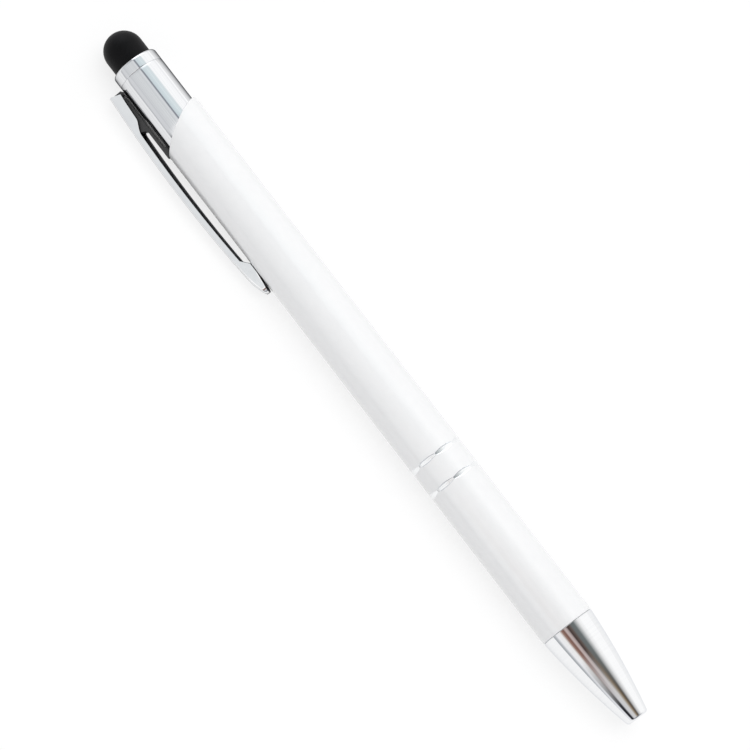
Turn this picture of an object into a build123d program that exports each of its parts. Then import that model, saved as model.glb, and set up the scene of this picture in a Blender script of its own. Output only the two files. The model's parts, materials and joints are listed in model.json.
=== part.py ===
from build123d import *
from math import asin, atan, cos, degrees, hypot, pi, sin, sqrt
import os

# A press-top ball pen with a touch-screen dome, lying on its barrel and its clip.
# The pen's axis is X, with the stylus end towards +X; all sizes are in millimetres.
# The origin is on the axis at the barrel's front face, where the nose cone is screwed in.

# Barrel: a drawn tube with a slanted rear edge and two rings of cut facets
barrel_dia = 9.6
barrel_front_wall = 1.0
barrel_rear_wall = 0.5
barrel_short_side = 101.05
barrel_slant_rise = 5.6
facet_count = 8
facet_turn = -10.9
facet_corner_depth = 0.06
facet_floor_width = 0.62
facet_side_run = 0.25
first_ring_at = 29.9
ring_spacing = 4.9
ring_count = 2

# Nose cone
nose_length = 18.6
nose_tip_dia = 3.9
nose_swell = 0.36
nose_cones = 6
nose_step = 0.05
nose_tip_chamfer = 0.35
nose_spigot_length = 8.0
nose_seam_break = 0.12
spring_bore_dia = 5.0
point_guide_length = 5.6

# Refill and its return spring
point_dia = 2.3
point_hole_gap = 0.1
point_setback = 2.0
point_length = 10.0
point_cone_length = 2.6
point_rim_dia = 1.24
point_spigot_length = 2.5
point_channel_dia = 0.6
ball_dia = 1.0
ball_gap = 0.02
ball_showing = 0.3
refill_dia = 3.0
refill_bore = 2.0
ink_gap = 0.02
ink_headroom = 17.8
ear_span = 4.2
ear_width = 1.2
ear_length = 2.0
spring_length = 19.0
spring_mean_dia = 3.9
spring_wire = 0.4
spring_turns = 9
spring_wire_sides = 5

# Press mechanism
stroke = 5.5
overtravel = 0.9
cam_run_gap = 0.15
cam_wall = 0.4
cam_rib_height = 0.45
cam_groove_width = 1.24
cam_grooves = 4
cam_chamber = 10.0
cam_rib_length = 10.4
cam_lid = 1.0
cam_notch_depth = 1.0
cam_notch_width = 0.7
cam_notch_relief = 0.05
slide_gap = 0.1
fin_length = 3.0
rotor_tail = 5.9
rotor_cup_depth = 2.5
rotor_cup_wall = 0.6
thruster_wall = 0.6
rotor_pin_length = 2.5
crown_teeth = 8
crown_depth = 0.9
crown_gap = 0.2
stem_dia = 3.0

# Plunger with the stylus
plunger_run_gap = 0.1
plunger_wall = 0.6
plunger_rise = 8.75
plunger_end_gap = 1.3
slot_side_gap = 0.15
slot_end_gap = 0.4
core_depth = 6.0
core_stem_depth = 3.6
core_end_gap = 0.5
core_flange = 0.8
collar_height = 2.2
collar_chamfer = 0.35
collar_lip = 0.9
collar_lip_width = 0.7
collar_wall = 0.35
dome_height = 6.2
dome_wall = 0.9
core_boss_height = 1.6
press_gap = 0.02

# Clip and the carrier that holds it
carrier_ring_height = 2.5
carrier_ring_wall = 1.0
leg_width = 3.0
leg_gap = 0.05
leg_back_gap = 0.06
lug_gap = 0.15
jog_height = 1.6
jog_above_barrel = 0.45
jog_slope = 0.6
shank_wall = 0.55
lug_length = 7.4
lug_slope = 0.8
clip_top_gap = 0.15
clip_top_slant = 0.6
clip_length = 42.85
clip_root_width = 4.0
clip_end_width = 2.2
clip_end_round = 0.9
clip_sheet = 0.5
clip_rise_top = 1.72
clip_rise_middle = 2.6
clip_rise_end = 1.65
clip_root_length = 5.35
clip_root_wall = 1.95
clip_arm_wall = 1.08
clip_step = 2.8
clip_end_wall = 0.55
clip_fit = 0.1
clip_foot_gap = 0.08
foot_from_end = 4.6
foot_flat = 1.9
foot_ramp = 1.4
clip_rest_at = 10.5

# Radii and stations that follow from those sizes
barrel_r = barrel_dia / 2
front_bore_r = barrel_r - barrel_front_wall
rear_bore_r = barrel_r - barrel_rear_wall
plunger_r = rear_bore_r - plunger_run_gap
plunger_bore_r = plunger_r - plunger_wall
plunger_top = barrel_short_side + barrel_slant_rise + plunger_rise
core_low = plunger_top - core_depth
cam_top = core_low - stroke - core_end_gap
rib_top = cam_top - cam_lid
rib_low = rib_top - cam_rib_length
shoulder = rib_low - cam_chamber
carrier_top = shoulder + carrier_ring_height
plunger_low = carrier_top + stroke + plunger_end_gap
fin_top = rib_low + stroke - overtravel
fin_low = fin_top - fin_length
rotor_low = fin_low - rotor_tail
refill_top = rotor_low + rotor_cup_depth
point_tip = -nose_length + point_setback
point_back = point_tip + point_length
spring_low = -nose_length + point_guide_length
ear_low = spring_low + spring_length
clip_top = plunger_top - clip_top_gap
clip_end = clip_top - clip_length
clip_middle = (clip_top + clip_end) / 2
jog_low = barrel_short_side + jog_above_barrel
jog_top = jog_low + jog_height
leg_inner = plunger_bore_r + leg_gap
leg_outer_r = rear_bore_r - leg_back_gap
lug_inner = plunger_r + lug_gap


def clip_back(x):
    # Distance of the clip's back from the axis at a station: one shallow bow
    middle = barrel_r + clip_rise_middle
    top = barrel_r + clip_rise_top
    end = barrel_r + clip_rise_end
    share = (x - clip_middle) / (clip_length / 2)
    return middle + (top - end) / 2 * share + ((top + end) / 2 - middle) * share**2


def clip_half_width(x):
    share = (clip_top - x) / clip_length
    return (clip_root_width + (clip_end_width - clip_root_width) * share) / 2


# The pen lies on its barrel and on one edge of its clip, so the clip points sideways and down
rest_x = clip_top - clip_rest_at
rest_reach = clip_back(rest_x)
rest_half = clip_half_width(rest_x)
rest_roll = degrees(asin(barrel_r / hypot(rest_reach, rest_half)) - atan(rest_half / rest_reach))
clip_out = Vector(0, 1, 0).rotate(Axis.X, -rest_roll)


def lengthwise(angle=0):
    # Plane through the axis: local x along the pen, local y outwards at this angle from the clip
    out = clip_out.rotate(Axis.X, angle)
    return Plane(origin=(0, 0, 0), x_dir=(1, 0, 0), z_dir=Vector(1, 0, 0).cross(out))


def across(x):
    # Plane square to the axis at a station, with its local x towards the clip
    return Plane(origin=(x, 0, 0), x_dir=clip_out, z_dir=(1, 0, 0))


def facing(angle, radius):
    # Plane that faces outwards at this angle from the clip, with its local x along the pen
    out = clip_out.rotate(Axis.X, angle)
    return Plane(origin=out * radius, x_dir=(1, 0, 0), z_dir=out)


def outline(plane, *points):
    with BuildSketch(plane) as face:
        with BuildLine():
            Polyline(*points, close=True)
        make_face()
    return face.sketch


section = lengthwise()
os.makedirs("parts", exist_ok=True)

# Barrel
with BuildPart() as barrel:
    long_side = barrel_short_side + barrel_slant_rise
    barrel_profile = outline(
        section,
        (0, front_bore_r),
        (shoulder, front_bore_r),
        (shoulder, rear_bore_r),
        (long_side, rear_bore_r),
        (long_side, barrel_r),
        (0, barrel_r),
    )
    revolve(barrel_profile, axis=Axis.X)
    slant_middle = barrel_short_side + barrel_slant_rise / 2
    slant_normal = Vector(barrel_dia, 0, 0) + clip_out * barrel_slant_rise
    split(bisect_by=Plane(origin=(slant_middle, 0, 0), z_dir=slant_normal), keep=Keep.BOTTOM)
    # Each facet is a straight cut across the wall, deepest at its middle
    facet_depth = barrel_r * (1 - cos(pi / facet_count)) + facet_corner_depth
    facet_floor = barrel_r - facet_depth
    facet_slope = facet_side_run / facet_depth
    facet_clear = barrel_r + facet_depth
    half_floor = facet_floor_width / 2
    half_mouth = half_floor + facet_slope * (facet_clear - facet_floor)
    for ring in range(ring_count):
        ring_x = first_ring_at + ring * ring_spacing
        for facet in range(facet_count):
            facet_profile = outline(
                lengthwise(facet_turn + facet * 360 / facet_count),
                (ring_x - half_floor, facet_floor),
                (ring_x + half_floor, facet_floor),
                (ring_x + half_mouth, facet_clear),
                (ring_x - half_mouth, facet_clear),
            )
            extrude(facet_profile, amount=barrel_r / 2, both=True, mode=Mode.SUBTRACT)
barrel.part.label = "barrel"
export_step(barrel.part, "parts/barrel.step")

# Nose cone: an ogive of short cones, with a bore for the spring and a hole that guides the point
nose_base_r = barrel_r - nose_step
nose_tip_r = nose_tip_dia / 2
spring_bore_r = spring_bore_dia / 2
point_hole_r = point_dia / 2 + point_hole_gap
spigot_r = front_bore_r - press_gap
nose_outline = []
for step in range(nose_cones + 1):
    share = step / nose_cones
    swell = 4 * nose_swell * share * (1 - share)
    nose_x = -nose_seam_break - (nose_length - nose_seam_break) * share
    nose_outline.append((nose_x, nose_base_r + (nose_tip_r - nose_base_r) * share + swell))
with BuildPart() as nose_cone:
    with BuildSketch(section):
        with BuildLine():
            Polyline(
                *nose_outline,
                (-nose_length, point_hole_r),
                (spring_low, point_hole_r),
                (spring_low, spring_bore_r),
                (nose_spigot_length, spring_bore_r),
                (nose_spigot_length, spigot_r),
                (0, spigot_r),
                (0, nose_base_r - nose_seam_break),
                close=True,
            )
        make_face()
        chamfer(vertices().group_by(Axis.X)[0].sort_by(Axis.Y)[-1], nose_tip_chamfer)
    revolve(axis=Axis.X)
nose_cone.part.label = "nose_cone"
export_step(nose_cone.part, "parts/nose_cone.step")

# Writing ball, held in the point's socket
ball_r = ball_dia / 2
ball_x = point_tip + ball_r
with BuildPart() as writing_ball:
    with BuildSketch(section):
        with BuildLine():
            ThreePointArc((ball_x - ball_r, 0), (ball_x, ball_r), (ball_x + ball_r, 0))
            Line((ball_x + ball_r, 0), (ball_x - ball_r, 0))
        make_face()
    revolve(axis=Axis.X)
writing_ball.part.label = "writing_ball"
export_step(writing_ball.part, "parts/writing_ball.step")

# Refill point: a turned cone with a socket for the ball and an ink channel
point_r = point_dia / 2
refill_bore_r = refill_bore / 2
socket_r = ball_r + ball_gap
rim_x = point_tip + ball_showing
with BuildPart() as refill_point:
    point_profile = outline(
        section,
        (rim_x, 0),
        (rim_x, point_rim_dia / 2),
        (point_tip + point_cone_length, point_r),
        (point_back, point_r),
        (point_back, refill_bore_r - press_gap),
        (point_back + point_spigot_length, refill_bore_r - press_gap),
        (point_back + point_spigot_length, 0),
    )
    revolve(point_profile, axis=Axis.X)
    with BuildSketch(section):
        with BuildLine():
            ThreePointArc((ball_x - socket_r, 0), (ball_x, socket_r), (ball_x + socket_r, 0))
            Line((ball_x + socket_r, 0), (ball_x - socket_r, 0))
        make_face()
    revolve(axis=Axis.X, mode=Mode.SUBTRACT)
    with BuildSketch(across(ball_x)):
        Circle(point_channel_dia / 2)
    extrude(amount=point_length + point_spigot_length, mode=Mode.SUBTRACT)
refill_point.part.label = "refill_point"
export_step(refill_point.part, "parts/refill_point.step")

# Refill tube with two pinched ears that the spring bears on
refill_r = refill_dia / 2
with BuildPart() as refill_tube:
    with BuildSketch(across(point_back)):
        Circle(refill_r)
    extrude(amount=refill_top - point_back)
    with BuildSketch(across(ear_low)):
        SlotOverall(ear_span, ear_width)
    extrude(amount=ear_length)
    with BuildSketch(across(point_back)):
        Circle(refill_bore_r)
    extrude(amount=refill_top - point_back, mode=Mode.SUBTRACT)
refill_tube.part.label = "refill_tube"
export_step(refill_tube.part, "parts/refill_tube.step")

# Ink in the tube, behind the point
ink_low = point_back + point_spigot_length
with BuildPart() as ink_column:
    with BuildSketch(across(ink_low)):
        Circle(refill_bore_r - ink_gap)
    extrude(amount=refill_top - ink_headroom - ink_low)
ink_column.part.label = "ink_column"
export_step(ink_column.part, "parts/ink_column.step")

# Return spring: one wire wound as a helix, each half turn drawn as two tangent arcs
spring_r = spring_mean_dia / 2
spring_rise = (spring_length - spring_wire) / spring_turns
spring_start = spring_low + spring_wire / 2
half_turns = 2 * spring_turns


def helix_point(turn):
    swing = 2 * pi * turn
    return Vector(spring_start + spring_rise * turn, spring_r * cos(swing), spring_r * sin(swing))


def helix_heading(turn):
    swing = 2 * pi * turn
    run = 2 * pi * spring_r
    return Vector(spring_rise, -run * sin(swing), run * cos(swing)).normalized()


def biarc_joint(start, start_heading, end, end_heading):
    # The point where two arcs, tangent to both headings, meet smoothly
    chord = end - start
    along = chord.dot(start_heading + end_heading)
    spread = 2 * (1 - start_heading.dot(end_heading))
    reach = (sqrt(along**2 + spread * chord.dot(chord)) - along) / spread
    return (start + start_heading * reach + end - end_heading * reach) / 2


with BuildPart() as return_spring:
    with BuildLine() as spring_path:
        for half in range(half_turns):
            start = helix_point(half / 2)
            end = helix_point((half + 1) / 2)
            start_heading = helix_heading(half / 2)
            end_heading = helix_heading((half + 1) / 2)
            joint = biarc_joint(start, start_heading, end, end_heading)
            first_arc = TangentArc(start, joint, tangent=start_heading)
            TangentArc(joint, end, tangent=first_arc % 1)
    with BuildSketch(Plane(origin=helix_point(0), z_dir=helix_heading(0))):
        RegularPolygon(spring_wire / 2, spring_wire_sides)
    sweep(path=spring_path.wires()[0])
return_spring.part.label = "return_spring"
export_step(return_spring.part, "parts/return_spring.step")
samples_per_turn = 24
spring_points = [helix_point(step / samples_per_turn) for step in range(spring_turns * samples_per_turn + 1)]
spring_gap = min(
    (spring_points[j] - spring_points[i]).length - spring_wire
    for i in range(len(spring_points))
    for j in range(i + samples_per_turn // 2, len(spring_points))
)
print("return spring, least gap to itself in mm:", round(spring_gap, 3))

# Clip carrier: a ring pressed into the barrel, a leg beside the plunger and a lug for the clip
carrier_bore_r = rear_bore_r - carrier_ring_wall
lug_top = clip_top
lug_low = lug_top - lug_length
lug_outer = clip_back(lug_top) - clip_sheet - clip_fit
lug_outer_low = clip_back(lug_low) - clip_sheet - clip_fit
shank_outer = lug_inner + shank_wall
lug_width = clip_root_width - 2 * clip_sheet - 4 * clip_fit
with BuildPart() as clip_carrier:
    carrier_profile = outline(
        section,
        (shoulder, carrier_bore_r),
        (carrier_top, carrier_bore_r),
        (carrier_top, rear_bore_r - press_gap),
        (shoulder, rear_bore_r - press_gap),
    )
    revolve(carrier_profile, axis=Axis.X)
    with BuildSketch(across(shoulder)):
        Circle(leg_outer_r)
        with Locations((leg_inner + leg_outer_r / 2, 0)):
            Rectangle(leg_outer_r, leg_width, mode=Mode.INTERSECT)
    extrude(amount=jog_top - shoulder)
    lug_profile = outline(
        section,
        (jog_low, leg_inner),
        (jog_top, leg_inner),
        (jog_top, lug_inner),
        (lug_top, lug_inner),
        (lug_top, lug_outer),
        (lug_low, lug_outer_low),
        (lug_low - lug_slope, shank_outer),
        (jog_low + jog_slope, shank_outer),
    )
    extrude(lug_profile, amount=lug_width / 2, both=True)
clip_carrier.part.label = "clip_carrier"
export_step(clip_carrier.part, "parts/clip_carrier.step")

# Cam body: a sleeve with stop ribs, the grooves between them, and a notch in each rib's end
cam_r = plunger_bore_r - cam_run_gap
groove_r = cam_r - cam_wall
rib_r = groove_r - cam_rib_height
with BuildPart() as cam_body:
    cam_profile = outline(
        section,
        (shoulder, groove_r),
        (rib_top, groove_r),
        (rib_top, rib_r + slide_gap),
        (cam_top, rib_r + slide_gap),
        (cam_top, cam_r),
        (carrier_top, cam_r),
        (carrier_top, carrier_bore_r - press_gap),
        (shoulder, carrier_bore_r - press_gap),
    )
    revolve(cam_profile, axis=Axis.X)
    with BuildSketch(across(rib_low)):
        Circle((groove_r + cam_r) / 2)
        Circle(rib_r, mode=Mode.SUBTRACT)
        with PolarLocations(cam_r / 2, cam_grooves):
            Rectangle(cam_r, cam_groove_width, mode=Mode.SUBTRACT)
    extrude(amount=cam_rib_length)
    for rib in range(cam_grooves):
        rib_angle = (rib + 0.5) * 360 / cam_grooves
        notch = outline(
            facing(rib_angle, rib_r / 2),
            (rib_low - slide_gap, -cam_notch_width / 2),
            (rib_low - slide_gap, cam_notch_width / 2),
            (rib_low + cam_notch_depth, cam_notch_width / 2),
        )
        extrude(notch, amount=groove_r + cam_notch_relief - rib_r / 2, mode=Mode.SUBTRACT)
cam_body.part.label = "cam_body"
export_step(cam_body.part, "parts/cam_body.step")

# Rotor: pushes the refill, with fins that slide in the grooves and end in slanted faces
fin_r = groove_r - slide_gap
fin_width = cam_groove_width - 2 * slide_gap
rotor_r = rib_r - slide_gap
cup_r = refill_r + press_gap
pin_r = rotor_r - thruster_wall - slide_gap
crown_pitch = 2 * pi * fin_r / crown_teeth
crown_slope = crown_depth / crown_pitch
crown_high = fin_top + crown_gap + crown_slope * (crown_pitch - fin_width) / 2
crown_low = crown_high - crown_depth
fin_fall = crown_slope * fin_width
fin_inner_r = max(pin_r - slide_gap, (fin_width / 2 + slide_gap) * crown_teeth / pi)
rotor_body_top = crown_low - crown_gap
with BuildPart() as rotor:
    rotor_profile = outline(
        section,
        (rotor_low, cup_r),
        (refill_top, cup_r),
        (refill_top, 0),
        (fin_top + rotor_pin_length, 0),
        (fin_top + rotor_pin_length, pin_r),
        (rotor_body_top, pin_r),
        (rotor_body_top, rotor_r),
        (fin_low, rotor_r),
        (fin_low, cup_r + rotor_cup_wall),
        (rotor_low, cup_r + rotor_cup_wall),
    )
    revolve(rotor_profile, axis=Axis.X)
    for fin in range(cam_grooves):
        fin_profile = outline(
            facing(fin * 360 / cam_grooves, fin_inner_r),
            (fin_low, -fin_width / 2),
            (fin_top, -fin_width / 2),
            (fin_top - fin_fall, fin_width / 2),
            (fin_low, fin_width / 2),
        )
        extrude(fin_profile, amount=groove_r)
    fin_trim = outline(
        section,
        (rotor_low, fin_r),
        (fin_top + slide_gap, fin_r),
        (fin_top + slide_gap, 2 * groove_r),
        (rotor_low, 2 * groove_r),
    )
    revolve(fin_trim, axis=Axis.X, mode=Mode.SUBTRACT)
rotor.part.label = "rotor"
export_step(rotor.part, "parts/rotor.step")

# Thruster: carries the crown of teeth that turns the rotor, on a stem fixed in the stylus core
spline_top = rib_top - slide_gap
stem_top = core_low + core_stem_depth - slide_gap
with BuildPart() as thruster:
    thruster_profile = outline(
        section,
        (crown_low, pin_r + slide_gap),
        (fin_top + rotor_pin_length + slide_gap, pin_r + slide_gap),
        (fin_top + rotor_pin_length + slide_gap, 0),
        (stem_top, 0),
        (stem_top, stem_dia / 2 - press_gap),
        (cam_top + slide_gap, stem_dia / 2 - press_gap),
        (cam_top + slide_gap, rotor_r),
        (crown_low, rotor_r),
    )
    revolve(thruster_profile, axis=Axis.X)
    for spline in range(cam_grooves):
        with BuildSketch(across(crown_low)):
            Circle(fin_r)
            Circle(pin_r + slide_gap, mode=Mode.SUBTRACT)
            with Locations(Rot(Z=spline * 360 / cam_grooves) * Pos(X=groove_r)):
                Rectangle(2 * groove_r, fin_width, mode=Mode.INTERSECT)
        extrude(amount=spline_top - crown_low)
    # Sawteeth all round the crown, parallel to the fins' slanted faces
    for tooth in range(crown_teeth):
        tooth_angle = tooth * 360 / crown_teeth
        tooth_faces = []
        for tooth_r in (pin_r, groove_r):
            half_pitch = tooth_r * crown_pitch / fin_r / 2
            tooth_face = outline(
                facing(tooth_angle, tooth_r),
                (crown_low, -half_pitch),
                (crown_high, -half_pitch),
                (crown_low, half_pitch),
            )
            tooth_faces.append(tooth_face)
        loft(tooth_faces, ruled=True, mode=Mode.SUBTRACT)
thruster.part.label = "thruster"
export_step(thruster.part, "parts/thruster.step")

# Plunger tube: the polished sleeve that is pressed, with a slot on the clip's side for the leg
with BuildPart() as plunger_tube:
    with BuildSketch(across(plunger_low)):
        Circle(plunger_r)
        Circle(plunger_bore_r, mode=Mode.SUBTRACT)
    extrude(amount=plunger_top - plunger_low)
    slot_top = jog_top + stroke + slot_end_gap
    with BuildSketch(across(plunger_low)):
        with Locations((plunger_r, 0)):
            Rectangle(plunger_r, leg_width + 2 * slot_side_gap)
    extrude(amount=slot_top - plunger_low, mode=Mode.SUBTRACT)
plunger_tube.part.label = "plunger_tube"
export_step(plunger_tube.part, "parts/plunger_tube.step")

# Stylus core: a plug in the plunger that holds the dome and takes the thruster's stem
dome_r = plunger_r - collar_lip_width
dome_inner_r = dome_r - dome_wall
collar_seat_r = plunger_r - collar_wall
core_flange_top = plunger_top + core_flange
with BuildPart() as stylus_core:
    core_profile = outline(
        section,
        (core_low, 0),
        (core_low, plunger_bore_r - press_gap),
        (plunger_top, plunger_bore_r - press_gap),
        (plunger_top, collar_seat_r - press_gap),
        (core_flange_top, collar_seat_r - press_gap),
        (core_flange_top, dome_inner_r - press_gap),
        (core_flange_top + core_boss_height, dome_inner_r - press_gap),
        (core_flange_top + core_boss_height, 0),
    )
    revolve(core_profile, axis=Axis.X)
    with BuildSketch(across(core_low)):
        Circle(stem_dia / 2)
    extrude(amount=core_stem_depth, mode=Mode.SUBTRACT)
stylus_core.part.label = "stylus_core"
export_step(stylus_core.part, "parts/stylus_core.step")

# Stylus collar: the polished ring that clamps the dome's flange
collar_top = plunger_top + collar_height
with BuildPart() as stylus_collar:
    collar_profile = outline(
        section,
        (plunger_top, collar_seat_r),
        (collar_top - collar_lip, collar_seat_r),
        (collar_top - collar_lip, dome_r + press_gap),
        (collar_top, dome_r + press_gap),
        (collar_top, plunger_r),
        (plunger_top, plunger_r),
    )
    revolve(collar_profile, axis=Axis.X)
    collar_rims = stylus_collar.edges().filter_by(GeomType.CIRCLE).group_by(Axis.X)[-1]
    chamfer(collar_rims.sort_by(SortBy.RADIUS)[-1], collar_chamfer)
stylus_collar.part.label = "stylus_collar"
export_step(stylus_collar.part, "parts/stylus_collar.step")

# Stylus dome: hollow conductive rubber
dome_top = collar_top + dome_height
dome_centre = dome_top - dome_r
with BuildPart() as stylus_dome:
    with BuildSketch(section):
        with BuildLine():
            turn = sqrt(0.5)
            outer_middle = (dome_centre + dome_r * turn, dome_r * turn)
            inner_middle = (dome_centre + dome_inner_r * turn, dome_inner_r * turn)
            Polyline(
                (core_flange_top, dome_inner_r),
                (core_flange_top, collar_seat_r - press_gap),
                (collar_top - collar_lip, collar_seat_r - press_gap),
                (collar_top - collar_lip, dome_r),
                (dome_centre, dome_r),
            )
            ThreePointArc((dome_centre, dome_r), outer_middle, (dome_top, 0))
            Line((dome_top, 0), (dome_top - dome_wall, 0))
            ThreePointArc((dome_top - dome_wall, 0), inner_middle, (dome_centre, dome_inner_r))
            Line((dome_centre, dome_inner_r), (core_flange_top, dome_inner_r))
        make_face()
    revolve(axis=Axis.X)
stylus_dome.part.label = "stylus_dome"
export_step(stylus_dome.part, "parts/stylus_dome.step")

# Clip: a sheet channel, open at the top, with a deep root round the lug, an arm and a foot on the barrel
foot_x = clip_end + foot_from_end
foot_inner_half = clip_half_width(foot_x) - clip_sheet
foot_low = sqrt(barrel_r**2 - foot_inner_half**2) + clip_foot_gap
root_low = clip_top - clip_root_length
arm_start = foot_x + foot_flat + foot_ramp
arm_stop = root_low - clip_step
arm_middle = (arm_start + arm_stop) / 2
with BuildPart() as clip_channel:
    with BuildSketch(section):
        with BuildLine():
            channel_top = (clip_top, clip_back(clip_top) - clip_sheet)
            channel_middle = (clip_middle, clip_back(clip_middle) - clip_sheet)
            channel_end = (clip_end + clip_sheet, clip_back(clip_end) - clip_sheet)
            ThreePointArc(channel_top, channel_middle, channel_end)
            Polyline(
                channel_end,
                (clip_end + clip_sheet, 0),
                (clip_top + clip_sheet, 0),
                (clip_top + clip_sheet, clip_back(clip_top) - clip_sheet),
                channel_top,
            )
        make_face()
    extrude(amount=clip_root_width, both=True)
    with BuildSketch(Plane(origin=(0, 0, 0), x_dir=(1, 0, 0), z_dir=clip_out)):
        with BuildLine():
            open_top = clip_top + clip_sheet
            wall_top = clip_half_width(open_top) - clip_sheet
            wall_end = clip_half_width(clip_end) - clip_sheet
            Polyline(
                (open_top, -wall_top),
                (open_top, wall_top),
                (clip_end, wall_end),
                (clip_end, -wall_end),
                close=True,
            )
        make_face()
    extrude(amount=barrel_dia, mode=Mode.INTERSECT)

with BuildPart() as clip:
    with BuildSketch(section):
        with BuildLine():
            back_top = (clip_top, clip_back(clip_top))
            back_end = (clip_end, clip_back(clip_end))
            arm_low_start = (arm_start, clip_back(arm_start) - clip_arm_wall)
            arm_low_middle = (arm_middle, clip_back(arm_middle) - clip_arm_wall)
            arm_low_stop = (arm_stop, clip_back(arm_stop) - clip_arm_wall)
            ThreePointArc(back_top, (clip_middle, clip_back(clip_middle)), back_end)
            Polyline(
                back_end,
                (clip_end, clip_back(clip_end) - clip_end_wall),
                (foot_x, foot_low),
                (foot_x + foot_flat, foot_low),
                arm_low_start,
            )
            ThreePointArc(arm_low_start, arm_low_middle, arm_low_stop)
            Polyline(
                arm_low_stop,
                (root_low, clip_back(root_low) - clip_root_wall),
                (clip_top - clip_top_slant, clip_back(clip_top) - clip_root_wall),
                back_top,
            )
        make_face()
    extrude(amount=clip_root_width, both=True)
    with BuildSketch(Plane(origin=(0, 0, 0), x_dir=(1, 0, 0), z_dir=clip_out)):
        with BuildLine():
            side_top = clip_half_width(clip_top)
            side_end = clip_half_width(clip_end)
            Polyline(
                (clip_top, -side_top),
                (clip_top, side_top),
                (clip_end, side_end),
                (clip_end, -side_end),
                close=True,
            )
        make_face()
        fillet(vertices().group_by(Axis.X)[0], clip_end_round)
    extrude(amount=barrel_dia, mode=Mode.INTERSECT)
    add(clip_channel.part, mode=Mode.SUBTRACT)
clip.part.label = "clip"
export_step(clip.part, "parts/clip.step")

print("rest roll in degrees:", round(rest_roll, 3))
print("clip hinge at x, from axis:", round(lug_top, 3), round((lug_inner + lug_outer) / 2, 3))
print("grip length in mm:", round(first_ring_at - half_floor - facet_side_run, 3))
print("point and ball at x:", round(point_tip, 3), round(ball_x, 3))
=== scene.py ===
import json
from math import asin, atan2, cos, pi, radians, sin

import bmesh
import bpy
from mathutils import Matrix, Vector


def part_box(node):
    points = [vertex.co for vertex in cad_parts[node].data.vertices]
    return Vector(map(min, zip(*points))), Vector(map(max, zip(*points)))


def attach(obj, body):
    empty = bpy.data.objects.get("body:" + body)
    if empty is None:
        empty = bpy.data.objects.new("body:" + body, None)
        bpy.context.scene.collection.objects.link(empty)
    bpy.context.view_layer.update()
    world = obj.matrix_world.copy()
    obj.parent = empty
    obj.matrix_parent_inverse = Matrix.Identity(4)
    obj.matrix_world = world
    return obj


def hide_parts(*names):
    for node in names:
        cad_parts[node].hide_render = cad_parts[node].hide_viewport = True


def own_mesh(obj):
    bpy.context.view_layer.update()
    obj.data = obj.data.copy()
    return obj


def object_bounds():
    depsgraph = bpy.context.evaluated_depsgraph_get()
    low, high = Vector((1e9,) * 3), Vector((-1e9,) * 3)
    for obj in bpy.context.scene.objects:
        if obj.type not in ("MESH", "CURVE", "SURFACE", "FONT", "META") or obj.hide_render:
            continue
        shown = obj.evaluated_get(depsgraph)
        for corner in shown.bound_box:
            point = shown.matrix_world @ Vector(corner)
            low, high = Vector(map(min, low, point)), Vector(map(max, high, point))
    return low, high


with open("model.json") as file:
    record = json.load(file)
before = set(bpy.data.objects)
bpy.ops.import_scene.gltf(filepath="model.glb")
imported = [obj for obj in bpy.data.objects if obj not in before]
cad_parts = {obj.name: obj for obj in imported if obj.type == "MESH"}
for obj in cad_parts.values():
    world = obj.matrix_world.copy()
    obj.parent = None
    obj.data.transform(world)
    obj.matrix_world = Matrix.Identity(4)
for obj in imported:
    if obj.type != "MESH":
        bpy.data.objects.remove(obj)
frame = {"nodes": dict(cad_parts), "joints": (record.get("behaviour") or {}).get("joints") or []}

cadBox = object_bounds()
mm = 0.001  # pieces are drawn in millimetres and scaled down when they are finished
mergeGap = 1e-5  # points closer than this become one
cutGap = 1e-6  # points this near to a cutting plane count as on it

# The pen's own frame: x along the pen, y towards the clip, z across the clip
joints = {joint["name"]: joint for joint in frame["joints"]}
alongPen = Vector((1, 0, 0))
clipOut = alongPen.cross(Vector(joints["clip_flex"]["axis"])).normalized()
clipSide = alongPen.cross(clipOut)
penTurn = Matrix((alongPen, clipOut, clipSide)).transposed().to_4x4()


def spanOf(node):
    low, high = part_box(node)
    return low.x / mm, high.x / mm


def radiusOf(node):
    low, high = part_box(node)
    return (high.z - low.z) / 2 / mm


def blend(start, end, share):
    return start + (end - start) * share


def easy(share):
    share = min(max(share, 0), 1)
    return share * share * (3 - 2 * share)


# Lathe work, and what every piece goes through at the end


def turned(profile, steps, rounds=(), closed=True, turn=2 * pi, start=0.0):
    # Spins an outline of (x, radius) points; rounds are (point, radius) pairs of corners to round off
    bm = bmesh.new()
    verts = [bm.verts.new((x, radius, 0)) for x, radius in profile]
    ends = verts[1:] + verts[:1] if closed else verts[1:]
    for first, second in zip(verts, ends):
        bm.edges.new((first, second))
    for point, radius in rounds:
        bmesh.ops.bevel(bm, geom=[verts[point]], offset=radius, segments=6, profile=0.5,
                        affect="VERTICES", material=-1)
    bmesh.ops.rotate(bm, verts=bm.verts[:], cent=(0, 0, 0), matrix=Matrix.Rotation(start, 3, "X"))
    outline = bm.verts[:] + bm.edges[:]
    bmesh.ops.spin(bm, geom=outline, cent=(0, 0, 0), axis=(1, 0, 0), angle=turn, steps=steps,
                   use_merge=turn >= 2 * pi)
    bmesh.ops.remove_doubles(bm, verts=bm.verts[:], dist=mergeGap)
    bmesh.ops.recalc_face_normals(bm, faces=bm.faces[:])
    return bm


def cutAcross(bm, place, normal, clear=False):
    # Cuts along a plane, and drops what is beyond it where clear is set
    bmesh.ops.bisect_plane(bm, geom=bm.verts[:] + bm.edges[:] + bm.faces[:], dist=cutGap,
                           plane_co=place, plane_no=normal, clear_outer=clear)


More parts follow.
